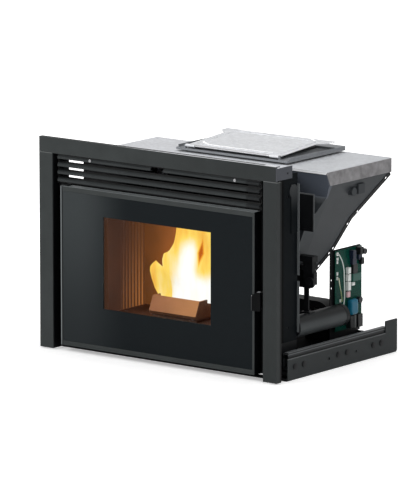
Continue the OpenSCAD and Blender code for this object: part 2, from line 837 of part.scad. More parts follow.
module gearbox() {
    color([0.35, 0.35, 0.36]) {
        on_auger() rotate([0, 90, 0]) difference() {
            union() {
                translate([-18, -14, -28]) cube([36, 28, 28 - gap]);
                translate([-12, -10, -32]) cube([24, 20, 5]);
            }
            translate([0, 0, -12]) cylinder(h = 20, r = 8.05);
        }
        block(auger_x + 18, auger_x + 42, 237, auger_y - 12, auger_z - 13, auger_z + 2);
    }
}

// A shaded-pole motor: lamination stack, coil, bridge and cooling disc, and its foot on the pipe
module gearmotor() {
    x = 341;
    z = 242;
    color(motor_black) {
        for (i = [0 : 5]) block(x - 17, x + 13, 218 + i * 3.2, 220.4 + i * 3.2, z + 16, 292);
        block(x - 15, x + 11, 219, 236, z + 16, 290);
        block(x - 34, x + 16, 214, 237.5, 288, 304);
        block(x - 20, x + 15, 222, 237, z - 16, z + 18);
        rod_y(x + 5, 214, 222, z - 9, 15);
        rod_y(x + 5, 210, 214, z - 9, 6);
        difference() {
            union() {
                block(x - 20, x - 5, 225, 229, pipe_z + pipe_r - 6, z);
                block(x - 24, x + 6, 216, 240, pipe_z + pipe_r - 12, pipe_z + pipe_r + 2);
            }
            rod_y(pipe_x, 200, 250, pipe_z, pipe_r + 0.05);
        }
    }
}

module drop_chute() {
    y0 = auger_y - 24;
    y1 = auger_y + 24;
    outer = [[firebox_back, 226], [firebox_back + 12, 222], [y1, chute_z - 12], [y1, chute_z],
        [y0, chute_z], [y0, chute_z - 6], [firebox_back, 264]];
    color(motor_black) difference() {
        along_x(chute_x0, chute_x1) polygon(outer);
        along_x(chute_x0 + 2, chute_x1 - 2) polygon([[firebox_back - 1, 228], [firebox_back + 11, 225],
            [y1 - 2, chute_z - 11], [y1 - 2, chute_z + 1], [y0 + 2, chute_z + 1],
            [y0 + 2, chute_z - 7], [firebox_back - 1, 261]]);
        on_auger() rotate([0, 90, 0]) cylinder(h = auger_len + 4, r = auger_tube_r + 0.1);
    }
}

// Air supply, fans and electrics
module air_intake_pipe() {
    color([0.22, 0.23, 0.24]) {
        rod_y(pipe_x, panel_y1, pipe_y1, pipe_z, pipe_r, pipe_r - 1.5);
        rod_y(pipe_x, pipe_y1 - 13, pipe_y1, pipe_z, pipe_r + 0.8, pipe_r - 1);
    }
}

module air_box() {
    color(motor_black) difference() {
        union() {
            block(firebox_x, 306, 62, 138, 58, 108);
            block(305, panel_x - panel_t, 62, panel_y1, 58, 155);
        }
        block(firebox_x - 1, 307, 64, 136, 60, 106);
        block(307, panel_x - panel_t - 2, 64, panel_y1 - 2, 60, 153);
        translate([pipe_x - 9, panel_y1 + 1, pipe_z - 2]) rotate([90, 0, 0]) cylinder(h = 4, r = 20);
    }
    color(motor_black) block(firebox_x, panel_x - panel_t, 62, 64, chassis_z + 3, 60);
}

module room_fan_housing() {
    color(motor_black) difference() {
        union() {
            rod_y(fan_x, fan_y, fan_y + 46, fan_z, fan_r);
            block(fan_x - 96, fan_x, fan_y, fan_y + 46, fan_z + 4, fan_z + fan_r);
            block(fan_x - 40, fan_x + 40, fan_y + 4, fan_y + 42, chassis_z + 3, fan_z - 20);
        }
        rod_y(fan_x, fan_y + 2, fan_y + 44, fan_z, fan_r - 2);
        block(fan_x - 97, fan_x, fan_y + 2, fan_y + 44, fan_z + 6, fan_z + fan_r - 2);
        rod_y(fan_x, fan_y - 1, fan_y + 3, fan_z, 34);
        rod_y(fan_x, fan_y + 40, fan_y + 47, fan_z, 4.05);
    }
    color([0.5, 0.5, 0.5]) {
        rod_y(fan_x, fan_y + 50, fan_y + 88, fan_z, 30);
        for (a = [45 : 90 : 315]) rod_y(fan_x + 26 * cos(a), fan_y + 46, fan_y + 51,
            fan_z + 26 * sin(a), 3);
    }
}

// A drum of blades on a back disc, with its shaft
module impeller(x, y, z, r, len, shaft) {
    color([0.6, 0.6, 0.6]) {
        rod_y(x, y + len - 2, y + len, z, r);
        rod_y(x, y, y + 2, z, r, r - 8);
        for (i = [0 : 15]) translate([x, 0, z]) rotate([0, i * 22.5, 0])
            block(r - 8, r - 0.6, y, y + len, -1, 1);
        rod_y(x, y + 4, y + len + shaft, z, 4);
    }
}

module room_fan_rotor() impeller(fan_x, fan_y + 6, fan_z, fan_r - 10, 34, 8);

module flue_fan_housing() {
    y0 = firebox_back;
    y1 = y0 + 52;
    color(motor_black) difference() {
        union() {
            rod_y(flue_x, y0, y1, flue_z, flue_r);
            block(flue_x, flue_pipe_x + 46, y0, y1, flue_z - flue_r, flue_z - flue_r + 88);
            block(flue_x - 30, flue_x + 30, y0 + 4, y1 - 4, chassis_z + 3, flue_z - flue_r + 8);
        }
        rod_y(flue_x, y0 + 2, y1 - 2, flue_z, flue_r - 2);
        block(flue_x, flue_pipe_x + 44, y0 + 2, y1 - 2, flue_z - flue_r + 2, flue_z - flue_r + 86);
        rod_y(flue_x + 45, y0 - 1, y0 + 3, flue_z, 26);
        rod_y(flue_x, y1 - 3, y1 + 1, flue_z, 4.05);
        rod_y(flue_pipe_x, y1 - 3, y1 + 1, flue_pipe_z, flue_pipe_r - 2);
    }
    color([0.5, 0.5, 0.5]) {
        rod_y(flue_x, y1 + 4, y1 + 54, flue_z, 34);
        for (a = [45 : 90 : 315]) rod_y(flue_x + 28 * cos(a), y1, y1 + 5, flue_z + 28 * sin(a), 3);
    }
}

module flue_fan_rotor() impeller(flue_x, firebox_back + 6, flue_z, 62, 38, 10);

module flue_outlet() {
    y0 = firebox_back + 52;
    color([0.5, 0.5, 0.52]) {
        rod_y(flue_pipe_x, y0, 500, flue_pipe_z, flue_pipe_r, flue_pipe_r - 1.5);
        rod_y(flue_pipe_x, y0, y0 + 3, flue_pipe_z, flue_pipe_r + 6, flue_pipe_r - 1);
    }
}

module board_bracket() {
    x = board_x - 5.4;
    y1 = board_y0 + board_w + 2;
    color(motor_black) {
        difference() {
            block(x - 2, x, board_y0 - 14, y1, chassis_z + 3, board_z0 + board_h + 2);
            for (z = [186, 208]) translate([x - 3, board_y0 - 7, z]) rotate([0, 90, 0])
                cylinder(h = 4, r = 2.8);
            block(x - 3, x + 1, board_y0 - 15, board_y0 + 4, board_z0 + board_h - 18, 300);
            block(x - 3, x + 1, chassis_y1 - 3, y1 + 1, chassis_z, 55);
        }
        block(x - 14, x, board_y0 + 66, chassis_y1 - 4, chassis_z + 3, chassis_z + 5);
        for (y = [board_y0 + 8, board_y0 + board_w - 8], z = [board_z0 + 8, board_z0 + board_h - 8])
            rod_x(x, board_x, y, z, 3);
        block(x - 2, x + 2, board_y0 + 4, y1, board_z0 + board_h, board_z0 + board_h + 2);
    }
}

module circuit_board() {
    color([0.05, 0.35, 0.25]) block(board_x, board_x + 1.6, board_y0, board_y0 + board_w,
        board_z0, board_z0 + board_h);
}

// A component on the board: y and z of its corner, its size along y and z, and its height
module part(y, z, wy, wz, h) {
    x = board_x + 1.6;
    block(x, x + h, board_y0 + y, board_y0 + y + wy, board_z0 + z, board_z0 + z + wz);
}

// Boxes on the board: y and z of the corner, width along y, height along z and how far each stands out
dark_parts = [[63, 191, 14, 23, 14], [92, 199, 15, 20, 17], [105, 170, 12, 18, 12],
    [66, 174, 19, 16.5, 10], [97, 183, 16, 15, 8], [71.5, 148.5, 20, 26, 8], [49, 3, 14, 34, 16],
    [70, 1, 10, 36, 13], [86, 0.5, 22, 35, 14]];
white_parts = [[46.5, 152.5, 12.5, 16.5, 10], [46.5, 132, 12.5, 18.5, 10], [46.5, 106, 12.5, 24, 10],
    [48.5, 87, 13, 15.5, 6], [73, 115.5, 12, 8.5, 4], [3, 207, 7.5, 9, 4], [4, 194, 5.5, 8, 4],
    [4, 185.5, 4.5, 7, 4], [4, 153.5, 4.5, 9, 4], [4, 141, 4.5, 9, 4], [20, 52, 7, 8, 4],
    [18, 78, 7, 8, 3]];
cans = [[112, 206, 8, 19], [101, 73.5, 8.5, 12]];

module board_components() {
    color([0.1, 0.15, 0.2]) for (p = dark_parts) part(p[0], p[1], p[2], p[3], p[4]);
    color([0.1, 0.4, 0.6]) part(52, 38, 32, 42.5, 18);
    color([0.5, 0.6, 0.55]) part(75, 126.5, 38, 20.5, 5);
    color([0.9, 0.9, 0.9]) for (p = white_parts) part(p[0], p[1], p[2], p[3], p[4]);
    color(motor_black) for (c = cans)
        translate([board_x + 1.6, board_y0 + c[0], board_z0 + c[1]]) rotate([0, 90, 0])
            cylinder(h = c[3], r = c[2]);
}

// Board wires: each is a tube along round points, measured from the board's lower front corner
wire_white = [[5.65, 7, 211], [7.2, 7, 211], [9, 7, 211], [18, 9, 194], [21.6, 12, 171],
    [21.6, 14, 140], [20.5, 17, 105], [15.5, 21, 78], [9, 23.5, 56], [7.2, 23.5, 56], [5.65, 23.5, 56]];
wire_earth = [[5.65, 6.5, 145], [7.2, 6.5, 145], [9, 6.5, 145], [12.5, 7, 124], [12.5, 12, 107],
    [9, 21.5, 82], [6.5, 21.5, 82], [4.65, 21.5, 82]];

// One ring of a tube at point i of a route
function ring(p, i, r, n) = let (a = p[max(0, i - 1)], b = p[min(len(p) - 1, i + 1)],
    d = unit(b - a), s = unit(cross(d, [1, 1, -1])), u = cross(d, s))
    [for (k = [0 : n - 1]) p[i] + r * (cos(360 * k / n) * s + sin(360 * k / n) * u)];

// A smooth route through the points, m steps for each stretch
function smooth(p, m) = concat([for (i = [0 : len(p) - 2], j = [0 : m - 1])
    let (t = j / m, p0 = p[max(0, i - 1)], p1 = p[i], p2 = p[i + 1], p3 = p[min(len(p) - 1, i + 2)])
    0.5 * (2 * p1 + (p2 - p0) * t + (2 * p0 - 5 * p1 + 4 * p2 - p3) * t * t
        + (3 * p1 - p0 - 3 * p2 + p3) * t * t * t)], [p[len(p) - 1]]);

module wire(points, r) {
    p = smooth(points, 4);
    sweep([for (i = [0 : len(p) - 1]) ring(p, i, r, 8)]);
}

module board_wires() {
    translate([board_x, board_y0, board_z0]) {
        color([0.9, 0.9, 0.9]) wire(wire_white, 1.6);
        color([0.8, 0.8, 0.2]) wire(wire_earth, 1.4);
    }
}

// Door
module door_frame() {
    t = 2;
    inner_y = glass_t + 5;
    px = rope_x;
    color(anthracite) difference() {
        union() {
            difference() {
                block(-door_x, door_x, 0, door_d, door_z0, door_z1);
                block(-glass_x, glass_x, -1, 4, glass_z0, glass_z1);
                block(-door_x + t, door_x - t, 1.2, door_d + 1, door_z0 + t, door_z1 - t);
            }
            block(-door_x + 1, door_x - 1, inner_y, inner_y + 2, door_z0 + 1, door_z1 - 1);
            for (w = [-2, 12]) difference() {
                block(-px - w, px + w, inner_y + 2, 24, rope_z0 - w, rope_z1 + w);
                block(-px - w + t, px + w - t, inner_y, 25, rope_z0 - w + t, rope_z1 + w - t);
            }
            for (z = [door_z0 + 1, door_z1 - 17])
                block(-door_x + 1, hinge_x + 10, inner_y, 25, z, z + 16);
            block(door_x - 1, latch_x + 10, 10, 14, latch_z - 20, latch_z + 24);
        }
        block(-window_w / 2 - 4, window_w / 2 + 4, inner_y - 1, inner_y + 3, window_z0 - 4, window_z1 + 4);
        for (z = [door_z0 - 1, door_z1 - 18]) translate([hinge_x, hinge_y, z])
            cylinder(h = 19, r = hinge_pin_r + 0.05);
        rod_y(latch_x, 9, 15, latch_z, latch_r + 0.05);
    }
}

module door_glass() {
    z0 = glass_z0 - 4;
    z1 = glass_z1 + 4;
    color([0.1, 0.1, 0.12, 0.4]) block(-glass_x + 0.4, glass_x - 0.4, 0.6, 0.6 + glass_t,
        glass_z0 + 0.4, glass_z1 - 0.4);
    color(motor_black) difference() {
        block(-glass_x - 2, glass_x + 2, 0.6 + glass_t, glass_t + 1.4, z0, z1);
        block(-window_w / 2, window_w / 2, 0, 20, window_z0, window_z1);
    }
    color([0.5, 0.5, 0.5]) difference() {
        block(-window_w / 2 - 18, window_w / 2 + 18, glass_t + 1.4, glass_t + 5,
            window_z0 - 18, window_z1 + 18);
        block(-window_w / 2 - 6, window_w / 2 + 6, 0, 20, window_z0 - 6, window_z1 + 6);
    }
}

module door_gasket() {
    y0 = glass_t + 7;
    color([0.2, 0.2, 0.2]) difference() {
        block(-rope_x - 10, rope_x + 10, y0, plate_y - gap, rope_z0 - 10, rope_z1 + 10);
        block(-rope_x + 2, rope_x - 2, y0 - 1, plate_y, rope_z0 + 2, rope_z1 - 2);
    }
}

// The latch: a finger plate, a shaft through the door's ear and a cam behind the front plate
module latch_lever() {
    color([0.15, 0.15, 0.16]) {
        along_y(-latch_out, -gap) translate([latch_x, latch_z]) polygon([[-15, -24], [12, -24],
            [15, -20], [15, 16], [13, 30], [9, 30], [-13, 18], [-15, 14]]);
        rod_y(latch_x, -1, 42, latch_z, latch_r);
        block(latch_x - 4, latch_x + 4, 36, 41, latch_z - 3, latch_z + 20);
    }
}

// Moves the insert so that its middle stands over the origin
module place() {
    translate([0, (latch_out - depth) / 2, 0]) children();
}

place() base_tray();
place() base_side_left();
place() base_side_right();
place() slide_bolts();
place() rear_buffers();
place() slide_outer();
place() slide_middle();
place() slide_inner();
place() chassis_floor();
place() side_panel_left();
place() side_panel_right();
place() surround_header();
place() surround_left();
place() surround_right();
place() front_plate();
place() grille();
place() grille_screws();
place() firebox_shell();
place() rib_lining_left();
place() rib_lining_right();
place() back_lining();
place() hearth_plate();
place() baffle_plate();
place() burn_pot();
place() ash_drawer();
place() igniter();
place() heat_exchanger();
place() casing_top();
place() casing_walls();
place() hopper_cover();
place() hopper_shell();
place() hopper_flange();
place() hopper_bracket();
place() hatch_frame();
place() lid_hinge_pin();
place() lid_seal();
place() hatch_lid();
place() hopper_grid();
place() service_box();
place() service_box_cover();
place() auger_tube();
place() auger_screw();
place() gearbox();
place() gearmotor();
place() drop_chute();
place() air_intake_pipe();
place() air_box();
place() room_fan_housing();
place() room_fan_rotor();
place() flue_fan_housing();
place() flue_fan_rotor();
place() flue_outlet();
place() board_bracket();
place() circuit_board();
place() board_components();
place() board_wires();
place() door_frame();
place() door_glass();
place() door_gasket();
place() latch_lever();
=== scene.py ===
"""A pull-out pellet fireplace insert: finishes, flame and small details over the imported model."""

import math

import bmesh
import bpy
from mathutils import Matrix, Vector


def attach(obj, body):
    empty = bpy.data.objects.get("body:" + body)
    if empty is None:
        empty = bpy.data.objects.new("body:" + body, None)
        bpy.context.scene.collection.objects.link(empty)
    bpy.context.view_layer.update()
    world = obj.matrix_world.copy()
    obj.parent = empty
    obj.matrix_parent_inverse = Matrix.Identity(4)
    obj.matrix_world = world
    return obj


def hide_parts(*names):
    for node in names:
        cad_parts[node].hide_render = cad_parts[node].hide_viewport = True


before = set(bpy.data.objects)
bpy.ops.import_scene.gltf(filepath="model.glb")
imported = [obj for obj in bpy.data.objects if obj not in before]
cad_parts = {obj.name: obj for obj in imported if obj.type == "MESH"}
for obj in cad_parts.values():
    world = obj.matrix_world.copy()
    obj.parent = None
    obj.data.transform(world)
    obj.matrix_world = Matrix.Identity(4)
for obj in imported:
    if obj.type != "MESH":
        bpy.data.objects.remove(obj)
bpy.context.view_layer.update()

# How far the surround's front face lies before the frame's origin, in millimetres.
FRONT = 270.25
# The point that the camera and the lamps face, in millimetres from the surround's front face.
AIM = (0, 265, 290)

# The camera that fits the photograph: degrees round and above, metres away, and its lens and
# shift in pixels of a picture 500 high.
CAMERA_ROUND, CAMERA_ABOVE, CAMERA_AWAY = 37.577, 10.707, 15.1862
FOCAL_LENGTH, SHIFT_ACROSS, SHIFT_UP = 5644.33, -8.714, -5.773
PHOTO_HIGH = 500
SENSOR = 36


def at(x, y, z):
    """A point given in millimetres from the surround's front face."""
    return Vector((x, y - FRONT, z)) / 1000


def add_camera():
    """The camera at the photograph's viewing angle."""
    azimuth, elevation = math.radians(CAMERA_ROUND), math.radians(CAMERA_ABOVE)
    away = Vector((math.sin(azimuth) * math.cos(elevation),
                   -math.cos(azimuth) * math.cos(elevation), math.sin(elevation)))
    data = bpy.data.cameras.new("photo_camera")
    data.sensor_width = SENSOR
    data.lens = FOCAL_LENGTH * SENSOR / PHOTO_HIGH
    data.shift_x = SHIFT_ACROSS / PHOTO_HIGH
    data.shift_y = SHIFT_UP / PHOTO_HIGH
    data.clip_end = 60
    camera = bpy.data.objects.new("photo_camera", data)
    bpy.context.scene.collection.objects.link(camera)
    camera.location = at(*AIM) + away * CAMERA_AWAY
    camera.rotation_euler = away.to_track_quat("Z", "Y").to_euler()
    bpy.context.scene.camera = camera


add_camera()


class Value:
    """A number that changes over a surface. Sums written on it become Math nodes."""

    def __init__(self, paint, socket):
        self.paint = paint
        self.socket = socket

    def reckon(self, operation, *others):
        """The outcome of a Math node on this number and others."""
        return self.paint.node("ShaderNodeMath", {"operation": operation}, self, *others)

    def __add__(self, other):
        return self.reckon("ADD", other)

    __radd__ = __add__

    def __sub__(self, other):
        return self.reckon("SUBTRACT", other)

    def __rsub__(self, other):
        return self.paint.node("ShaderNodeMath", {"operation": "SUBTRACT"}, other, self)

    def __mul__(self, other):
        return self.reckon("MULTIPLY", other)

    __rmul__ = __mul__

    def __pow__(self, other):
        return self.reckon("POWER", other)

    def __abs__(self):
        return self.reckon("ABSOLUTE")

    def capped(self):
        """The number itself, but at most 1."""
        return self.reckon("MINIMUM", 1.0)

    def step(self, low, high):
        """0 below low, 1 above high, and smooth between them."""
        return self.paint.node("ShaderNodeMapRange", {"interpolation_type": "SMOOTHSTEP"},
                               self, low, high, 0.0, 1.0)

    def between(self, low, high, soft):
        """1 from low to high and 0 outside them, with soft edges."""
        return self.step(low - soft, low) * (1 - self.step(high, high + soft))


class Paint:
    """A finish: one Principled shader and the nodes that vary it.

    Places in it are in metres: x and z in the frame, depth from the surround's front face.
    """

    def __init__(self, name, color, rough, metal=0.0, **fixed):
        self.material = bpy.data.materials.new(name)
        self.material.use_nodes = True
        self.tree = self.material.node_tree
        self.shader = self.tree.nodes["Principled BSDF"]
        self.place = self.node("ShaderNodeTexCoord", {}, out="Object")
        self.set(Base_Color=color, Roughness=rough, Metallic=metal, **fixed)

    def feed(self, socket, value):
        """Links a Value to a socket, or sets a plain number or colour on it."""
        if isinstance(value, Value):
            self.tree.links.new(value.socket, socket)
        elif isinstance(value, tuple) and len(value) == 3 and socket.type == "RGBA":
            socket.default_value = (*value, 1.0)
        else:
            socket.default_value = value

    def node(self, kind, settings, *inputs, out=0, **named):
        """A node of any kind: its settings, then the values or links of its sockets."""
        made = self.tree.nodes.new(kind)
        for key, value in settings.items():
            if key == "stops":
                ramp = made.color_ramp
                while len(ramp.elements) < len(value):
                    ramp.elements.new(0.5)
                for element, (spot, color) in zip(ramp.elements, value):
                    element.position = spot
                    element.color = (*color, 1.0)
            else:
                setattr(made, key, value)
        for socket, value in zip(made.inputs, inputs):
            self.feed(socket, value)
        for key, value in named.items():
            self.feed(made.inputs[key.replace("_", " ")], value)
        return Value(self, made.outputs[out])

    def set(self, **named):
        """Sets or links the shader's own sockets."""
        for key, value in named.items():
            self.feed(self.shader.inputs[key.replace("_", " ")], value)
        return self

    def glow(self, color):
        """Light that comes from the surface, as strong as its colour is bright."""
        return self.set(Emission_Color=color, Emission_Strength=1.0)

    def noise(self, scale, detail, place=None):
        """Cloudy noise from 0 to 1: a higher scale makes it finer."""
        return self.node("ShaderNodeTexNoise", {}, Vector=place or self.place, Scale=scale,
                         Detail=detail)

    def stretched(self, x, y, z):
        """The place on the piece, scaled along its axes to draw a pattern out."""
        return self.node("ShaderNodeMapping", {}, Vector=self.place, Scale=(x, y, z))

    def axis(self, name):
        """One coordinate of the place on the piece, in the frame."""
        return self.node("ShaderNodeSeparateXYZ", {}, self.place, out=name)

    @property
    def side(self):
        """How far right a point lies."""
        return self.axis("X")

    @property
    def height(self):
        """How high a point lies."""
        return self.axis("Z")

    def behind(self, low, high):
        """0 in front of low and 1 behind high."""
        return self.axis("Y").step(low - FRONT / 1000, high - FRONT / 1000)

    def line(self, x0, y0, x1, y1, wide):
        """1 on a straight band between two points seen from above."""
        long = math.hypot(x1 - x0, y1 - y0)
        ux, uy = (x1 - x0) / long, (y1 - y0) / long
        side, depth = self.side - x0, self.axis("Y") - (y0 - FRONT / 1000)
        off = abs(side * -uy + depth * ux)
        along = side * ux + depth * uy
        return (1 - off.step(wide * 0.4, wide * 0.6)) * along.between(0, long, 0.001)

    def ramp(self, factor, *stops):
        """A colour that follows factor through stops of (position, colour)."""
        return self.node("ShaderNodeValToRGB", {"stops": stops}, factor)

    def mix(self, factor, first, second):
        """The first colour where factor is 0 and the second where it is 1."""
        made = self.tree.nodes.new("ShaderNodeMix")
        made.data_type = "RGBA"
        sockets = (made.inputs[0], made.inputs[6], made.inputs[7])
        for socket, value in zip(sockets, (factor, first, second)):
            self.feed(socket, value)
        return Value(self, made.outputs[2])

    def bump(self, height, strength, distance):
        """Fine relief on the surface; distance is its depth in metres."""
        return self.set(Normal=self.node("ShaderNodeBump", {}, Strength=strength,
                                         Distance=distance, Height=height, out="Normal"))


def shade(color, share):
    """A colour made darker, or paler where share is over 1."""
    return tuple(min(1.0, part * share) for part in color)


BLACK = (0, 0, 0)
ANTHRACITE = (0.034, 0.039, 0.039)
NEAR_BLACK = (0.0012, 0.0015, 0.002)
FIRESIDE_BROWN = (0.055, 0.026, 0.016)
BRIGHT_ZINC = (0.74, 0.75, 0.78)


def powder_coat(name, color, rough=0.45, gleam=0.22):
    """Textured powder coat: fine orange peel and faint handling marks."""
    paint = Paint(name, color, rough, Specular_IOR_Level=gleam)
    peel = paint.noise(1400, 2)
    marks = paint.noise(14, 5)
    paint.coat = paint.ramp(marks, (0.3, shade(color, 0.88)), (0.7, shade(color, 1.12)))
    paint.set(Base_Color=paint.coat, Roughness=rough - 0.08 + 0.16 * marks)
    return paint.bump(peel, 0.12, 0.0004)


def trim_coat(name):
    """The surround's coat: painted shade darker to the right and near black inside the door's
    recess, with painted highlights on a seam, the header's top and its right end.
    """
    paint = powder_coat(name, ANTHRACITE)
    outer = abs(paint.side).step(0.3555, 0.3562)
    # Painted shade: near black on the faces inside the door's recess.
    recess = (1 - outer) * paint.behind(0.002, 0.005)
    # Painted shade: the coat grows darker to the right.
    coat = paint.mix(paint.side.step(-0.3, 0.42) * 0.55, paint.coat, (0.014, 0.0165, 0.017))
    # A painted highlight along the joint under the header; the dark line above it is the joint
    # itself.
    seam_highlight = outer * paint.height.between(0.5368, 0.5388, 0.0003)
    coat = paint.mix(seam_highlight, coat, (0.11, 0.117, 0.117))
    dark_seam = outer * paint.height.between(0.5391, 0.5401, 0.0003)
    coat = paint.mix(dark_seam, coat, (0.012, 0.013, 0.014))
    # A painted highlight on the header's top face, fading out to the left.
    header_top_highlight = paint.height.step(0.579, 0.5795) * paint.side.step(-0.2, 0.1)
    coat = paint.mix(header_top_highlight, coat, (0.62, 0.63, 0.65))
    # A painted highlight on the outward face at the header's right end.
    ear_highlight = paint.side.step(0.3966, 0.3969) * paint.height.step(0.5405, 0.541)
    coat = paint.mix(ear_highlight, coat, (0.06, 0.064, 0.075))
    # Painted shade: near black on the outer side at the right end, behind its front edge.
    flank = paint.side.step(0.3992, 0.3995) * paint.behind(0.0115, 0.0165) * (1 - ear_highlight)
    coat = paint.mix(flank, coat, (0.002, 0.0022, 0.0025))
    return paint.set(Base_Color=paint.mix(recess, coat, (0.002, 0.0022, 0.003))).material


def louvre_coat(name):
    """The grille's coat: its right ends and the slopes behind the louvres' lips lie in shade."""
    paint = powder_coat(name, (0.026, 0.030, 0.031))
    ends = paint.side.step(0.292, 0.3)
    coat = paint.mix(ends * 0.75, paint.coat, (0.004, 0.005, 0.006))
    slopes = paint.behind(0.0048, 0.011)
    return paint.set(Base_Color=paint.mix(slopes, coat, (0.0012, 0.0014, 0.0016))).material


def tray_coat(name):
    """The base's coat, with a painted highlight along the top edge of its right side."""
    paint = powder_coat(name, (0.021, 0.0245, 0.0255))
    # A painted highlight along the top edge of the right side, stopping short of the rear.
    edge = paint.height.between(0.0568, 0.0592, 0.0003) * paint.side.step(0.3955, 0.396)
    edge = edge * (1 - paint.behind(0.49, 0.492))
    return paint.set(Base_Color=paint.mix(edge, paint.coat, (0.10, 0.105, 0.108))).material


def slide_coat(name):
    """The slides' coat: painted highlights along the rolled edges and painted shade in the gap over
    the base's side.
    """
    paint = powder_coat(name, (0.02, 0.022, 0.024), 0.4)
    # Painted highlights along the rolled edges.
    rolled = paint.height.between(0.0685, 0.07, 0.0004) + paint.height.step(0.0738, 0.0742)
    # Painted shade in the gap over the base's side.
    gap = paint.height.between(0.059, 0.064, 0.0005)
    coat = paint.mix(gap, paint.coat, (0.003, 0.0035, 0.004))
    return paint.set(Base_Color=paint.mix(rolled.capped(), coat, (0.11, 0.115, 0.12))).material


def pipe_coat(name):
    """The air pipe: grey coat, darkened with painted shade above and below and on its rim."""
    paint = powder_coat(name, (0.045, 0.05, 0.052), 0.4)
    # Painted shade darkens the pipe above and below its middle band and on its rim.
    darkening = 1 - paint.height.between(0.1, 0.128, 0.014) * (1 - paint.behind(0.352, 0.36))
    coat = paint.mix(darkening * 0.85, paint.coat, (0.004, 0.0045, 0.005))
    return paint.set(Base_Color=coat).material


def hopper_coat(name):
    """The hopper's coat: its front face is bluer, with painted light making it paler at the top."""
    paint = powder_coat(name, (0.038, 0.042, 0.046), 0.42)
    front = 1 - paint.behind(0.2635, 0.265)
    # Painted light: the front is paler at the top and darker lower down.
    blue = paint.mix(paint.height.step(0.452, 0.462), (0.03, 0.035, 0.039), (0.07, 0.08, 0.1))
    return paint.set(Base_Color=paint.mix(front, paint.coat, blue)).material


def door_coat(name):
    """The door's coat: painted highlights on its top and left edges, painted shade beside the left
    edge and on its right side, and brown on the window's inner faces.
    """
    paint = powder_coat(name, ANTHRACITE)
    front = 1 - paint.behind(0.0008, 0.0012)
    # Painted highlights on the front's left edge and along the top edge.
    edge = (paint.side.between(-0.3275, -0.3238, 0.0004) * front
            + paint.height.step(0.4514, 0.4517))
    coat = paint.mix(edge, paint.coat, (0.17, 0.185, 0.19))
    # A painted shadow beside the left edge, and painted shade on the right side face.
    shadow = paint.side.between(-0.3232, -0.3206, 0.0004) * front
    flank = paint.side.step(0.3268, 0.3269)
    coat = paint.mix(shadow + flank, coat, NEAR_BLACK)
    window = paint.side.between(-0.2, 0.2, 0.002) * paint.height.between(0.115, 0.4, 0.002)
    window_reveal = paint.behind(0.006, 0.007) * window
    return paint.set(Base_Color=paint.mix(window_reveal, coat, FIRESIDE_BROWN)).material


def plate_coat(name):
    """The front plate's coat, brown round the mouth of the firebox, with a faint painted glow of
    firelight there.
    """
    paint = powder_coat(name, (0.005, 0.0055, 0.0065), 0.5)
    mouth = paint.side.between(-0.214, 0.214, 0.002) * paint.height.between(0.104, 0.41, 0.002)
    # A faint painted glow round the mouth, standing in for the fire's light.
    paint.glow(paint.mix(mouth, BLACK, (0.045, 0.018, 0.009)))
    return paint.set(Base_Color=paint.mix(mouth, paint.coat, FIRESIDE_BROWN)).material


def panel_coat(name):
    """The side panels' black coat, with painted highlights on the right panel's rear flange and
    upper strip, and painted shade near black at the panels' front.
    """
    paint = powder_coat(name, (0.0034, 0.0048, 0.006), 0.5, 0.05)
    # A painted highlight on the right panel's upper strip, growing towards the top.
    strip = paint.side.step(0.3551, 0.3553) * paint.height.step(0.43, 0.512)
    coat = paint.mix(strip, paint.coat, (0.045, 0.048, 0.05))
    # A painted highlight on the right panel's rear flange.
    flange = paint.side.step(0.3553, 0.3556) * paint.behind(0.1475, 0.148)
    coat = paint.mix(flange, coat, (0.13, 0.14, 0.145))
    # Painted shade: near black on the front of the panels, beside the uprights.
    clear_of_upright_shade = paint.behind(0.085, 0.095)
    return paint.set(Base_Color=paint.mix(clear_of_upright_shade, (0.0006, 0.0007, 0.0009), coat)).material


def latch_coat(name):
    """The latch: black, with painted highlights on its top and on the left edge of its front, and a
    painted glint high on that edge.
    """
    paint = powder_coat(name, (0.0014, 0.0016, 0.002), 0.5, 0.08)
    # A painted highlight on the left edge of the front.
    front = (1 - paint.side.step(0.3205, 0.3215)) * (1 - paint.behind(0.0, 0.001))
    coat = paint.mix(front, paint.coat, (0.05, 0.052, 0.055))
    # A painted glint high on that edge.
    corner_glint = front * paint.height.between(0.2295, 0.2345, 0.0005)
    coat = paint.mix(corner_glint, coat, (0.7, 0.7, 0.72))
    # A painted highlight on the top.
    top = paint.height.step(0.2405, 0.2415)
    return paint.set(Base_Color=paint.mix(top, coat, (0.16, 0.165, 0.17))).material


def box_coat(name):
    """The service box's cover: black, with its pressed rim catching the light."""
    paint = powder_coat(name, (0.004, 0.0045, 0.0055), 0.5)
    rim = (paint.side.step(0.3835, 0.384) + paint.height.step(0.4775, 0.478)).capped()
    return paint.set(Base_Color=paint.mix(rim, paint.coat, (0.085, 0.09, 0.093))).material


def zinc_sheet(name, color):
    """Zinc-coated sheet: a soft spangle of crystal facets and dull patches."""
    paint = Paint(name, color, 0.42, 0.55)
    warp = paint.noise(25, 2)
    spangle = paint.node("ShaderNodeTexVoronoi", {}, Vector=paint.place, Scale=140.0, out="Color")
    facet = paint.node("ShaderNodeSeparateColor", {}, spangle)
    dull = paint.noise(9, 4)
    paint.zinc = paint.ramp(0.45 * facet + 0.55 * dull, (0.2, shade(color, 0.9)),
                            (0.8, shade(color, 1.08)))
    paint.set(Base_Color=paint.zinc, Roughness=0.36 + 0.1 * facet + 0.08 * warp)
    return paint.bump(dull, 0.05, 0.001)


